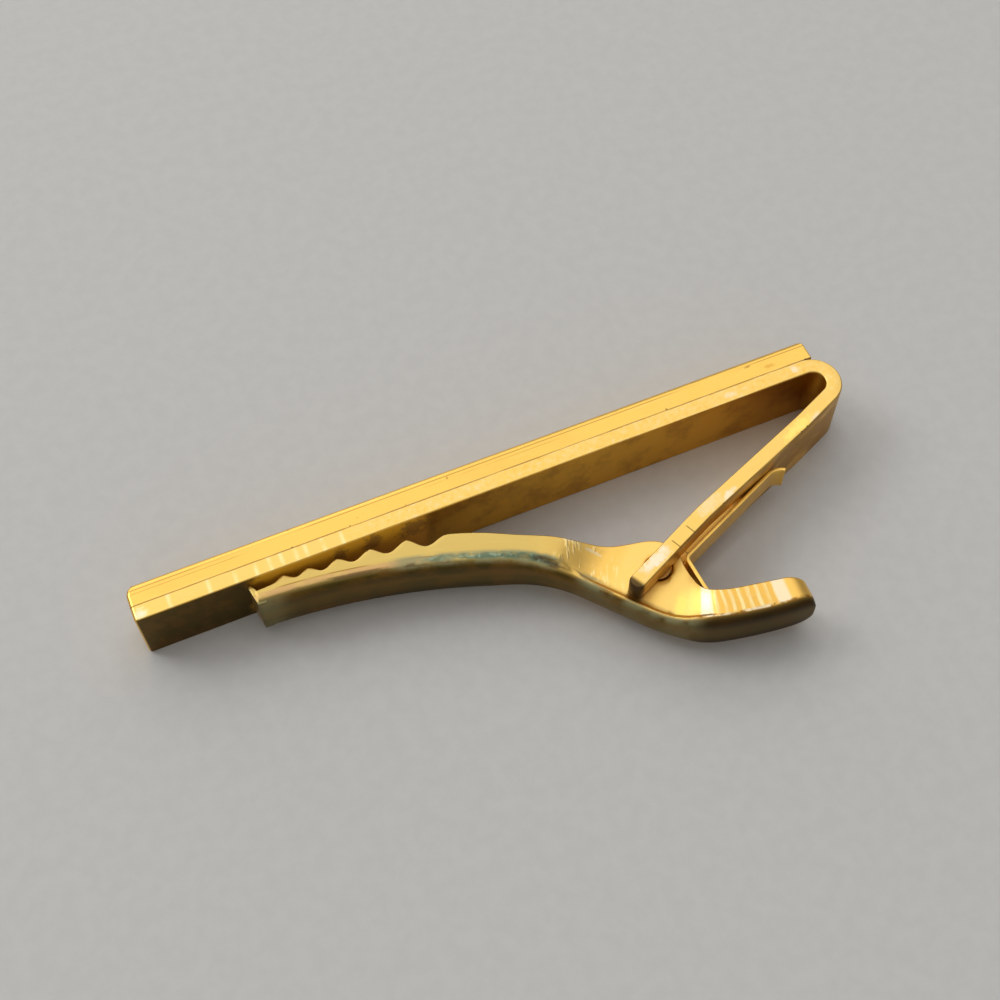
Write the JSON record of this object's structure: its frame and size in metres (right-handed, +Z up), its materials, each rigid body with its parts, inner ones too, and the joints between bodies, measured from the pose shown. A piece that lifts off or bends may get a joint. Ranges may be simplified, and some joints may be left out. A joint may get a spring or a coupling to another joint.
{
  "type": "tie clip",
  "caption": "Gold-finished tie clip: flat front bar on a folded strip whose forked end carries a sprung, toothed jaw lever that grips the tie and shirt front.",
  "frame": {"origin": "centre of the bounding box, on the long side edge that the clip lies on", "axes": "+X along the bar towards the fold, +Y from the lever towards the bar's front face, +Z up across the bar's width"},
  "size_m": [0.051, 0.0184, 0.0048],
  "materials": {
    "bar_gold": "polished gold plate on brass, worn",
    "strip_gold": "gold plate on rolled brass, rubbed along the edges",
    "pin_gold": "dull gold plate",
    "lever_gold": "gold plate on stamped brass, with verdigris in the bends",
    "spring_gold": "gold plate on spring bronze"
  },
  "bodies": {
    "frame": {"front_bar": "bar_gold", "backing_strip": "strip_gold", "pivot_pin": "pin_gold", "leaf_spring": "spring_gold"},
    "lever": {"jaw_lever": "lever_gold"}
  },
  "joints": [
    {"name": "lever_pivot", "type": "hinge", "parent": "frame", "child": "lever", "pos_m": [0.00758, -0.00259, 0.00238], "axis": [0, 0, 1], "range_deg": [0, 20], "stiffness_Nm_per_rad": 0.08, "springref_deg": -34.38, "deforming": ["leaf_spring"]}
  ]
}
